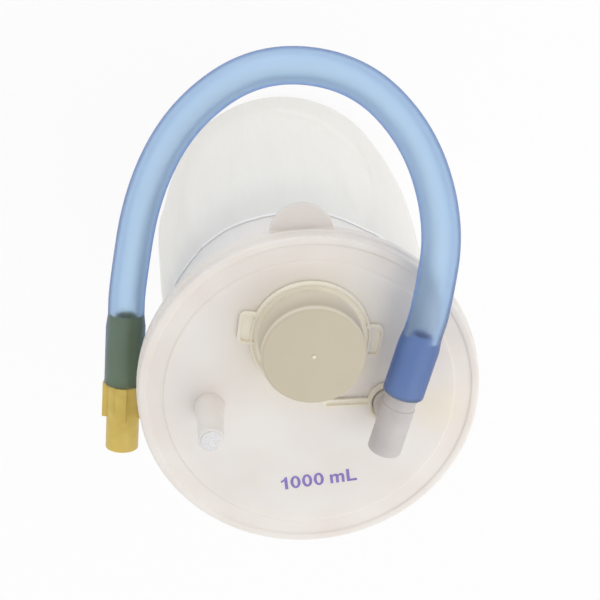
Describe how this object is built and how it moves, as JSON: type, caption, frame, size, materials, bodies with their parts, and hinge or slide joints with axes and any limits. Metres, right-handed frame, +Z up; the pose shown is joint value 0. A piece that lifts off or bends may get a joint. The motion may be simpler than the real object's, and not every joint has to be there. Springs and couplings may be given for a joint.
{
  "type": "suction canister liner",
  "caption": "Disposable suction liner: milky round lid with pour cap, vacuum stub and patient elbow, a translucent film bag below and a short blue hose ending in a yellow connector.",
  "frame": {"origin": "on the floor under the middle of the lid, where the flat bottom of the bag rests", "axes": "+Z up along the vacuum stub and out of the lid, +Y towards the lid's pull tab, +X towards the patient port"},
  "size_m": [0.1481, 0.1904, 0.1918],
  "materials": {
    "lid_pe": "milky, satin",
    "bag_film": "translucent film, soft sheen",
    "cuff_film": "translucent film, soft sheen",
    "cap_cream": "satin",
    "elbow_white": "satin",
    "hose_blue": "clear tinted, glossy",
    "connector_yellow": "satin",
    "filter_white": "porous, matte",
    "flap_silicone": "matte"
  },
  "bodies": {
    "lid_body": {"lid": "lid_pe", "liner_bag": "bag_film", "film_cuff": "cuff_film", "filter_plug": "filter_white", "flap_valve": "flap_silicone"},
    "cap_body": {"pour_cap": "cap_cream"},
    "elbow_body": {"patient_elbow": "elbow_white", "hose": "hose_blue", "hose_connector": "connector_yellow"}
  },
  "joints": [
    {"name": "cap_lift", "type": "slide", "parent": "lid_body", "child": "cap_body", "axis": [0, 0, 1], "range_m": [0, 0.0064]},
    {"name": "elbow_swivel", "type": "hinge", "parent": "lid_body", "child": "elbow_body", "pos_m": [0.0299, -0.0045, 0.17], "axis": [0, 0, 1], "range_deg": [-165, 8]}
  ]
}
